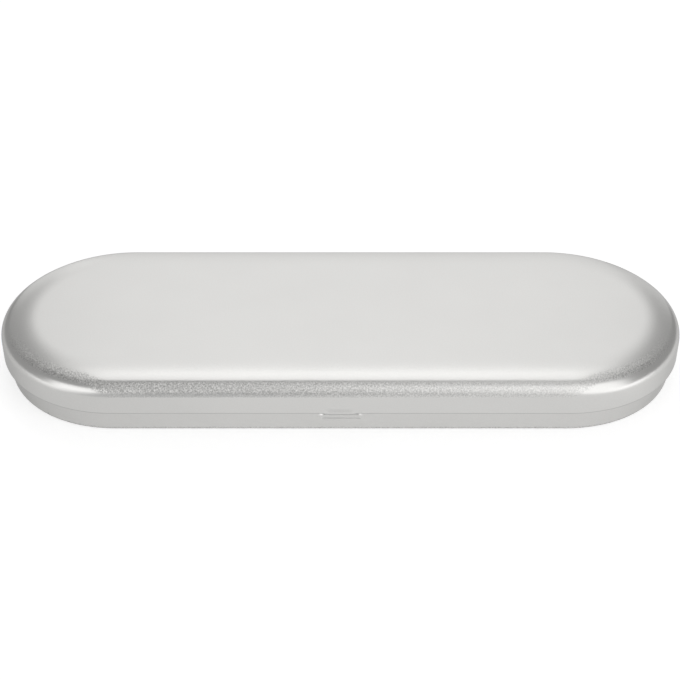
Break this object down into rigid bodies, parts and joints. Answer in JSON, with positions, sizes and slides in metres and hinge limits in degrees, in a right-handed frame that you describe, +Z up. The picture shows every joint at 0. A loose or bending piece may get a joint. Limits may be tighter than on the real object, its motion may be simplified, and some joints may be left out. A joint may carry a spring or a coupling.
{
  "type": "tweezer case",
  "caption": "Slim hinged sheet-metal case with round ends, a slip-over lid and a slotted foam lining that holds tweezers.",
  "frame": {"origin": "middle of the tray's flat underside, on the surface that the case lies on", "axes": "+X along the case, -Y towards the thumb notch, +Y towards the hinges, +Z up through the lid"},
  "size_m": [0.17, 0.0628, 0.0153],
  "materials": {
    "case_metal": "satin",
    "hinge_steel": "satin",
    "black_foam": "matte",
    "magnet_rubber": "matte"
  },
  "bodies": {
    "base": {"base_tray": "case_metal", "magnet_sheet": "magnet_rubber", "foam_insert": "black_foam", "left_base_leaf": "hinge_steel", "right_base_leaf": "hinge_steel", "left_hinge_pin": "hinge_steel", "right_hinge_pin": "hinge_steel", "base_rivet_1": "hinge_steel", "base_rivet_2": "hinge_steel", "base_rivet_3": "hinge_steel", "base_rivet_4": "hinge_steel"},
    "lid": {"lid_shell": "case_metal", "lid_pad": "black_foam", "left_lid_leaf": "hinge_steel", "right_lid_leaf": "hinge_steel", "lid_rivet_1": "hinge_steel", "lid_rivet_2": "hinge_steel", "lid_rivet_3": "hinge_steel", "lid_rivet_4": "hinge_steel"}
  },
  "joints": [
    {"name": "lid_hinge", "type": "hinge", "parent": "base", "child": "lid", "pos_m": [0, 0.03074, 0.0064], "axis": [-1, 0, 0], "range_deg": [0, 160]}
  ]
}
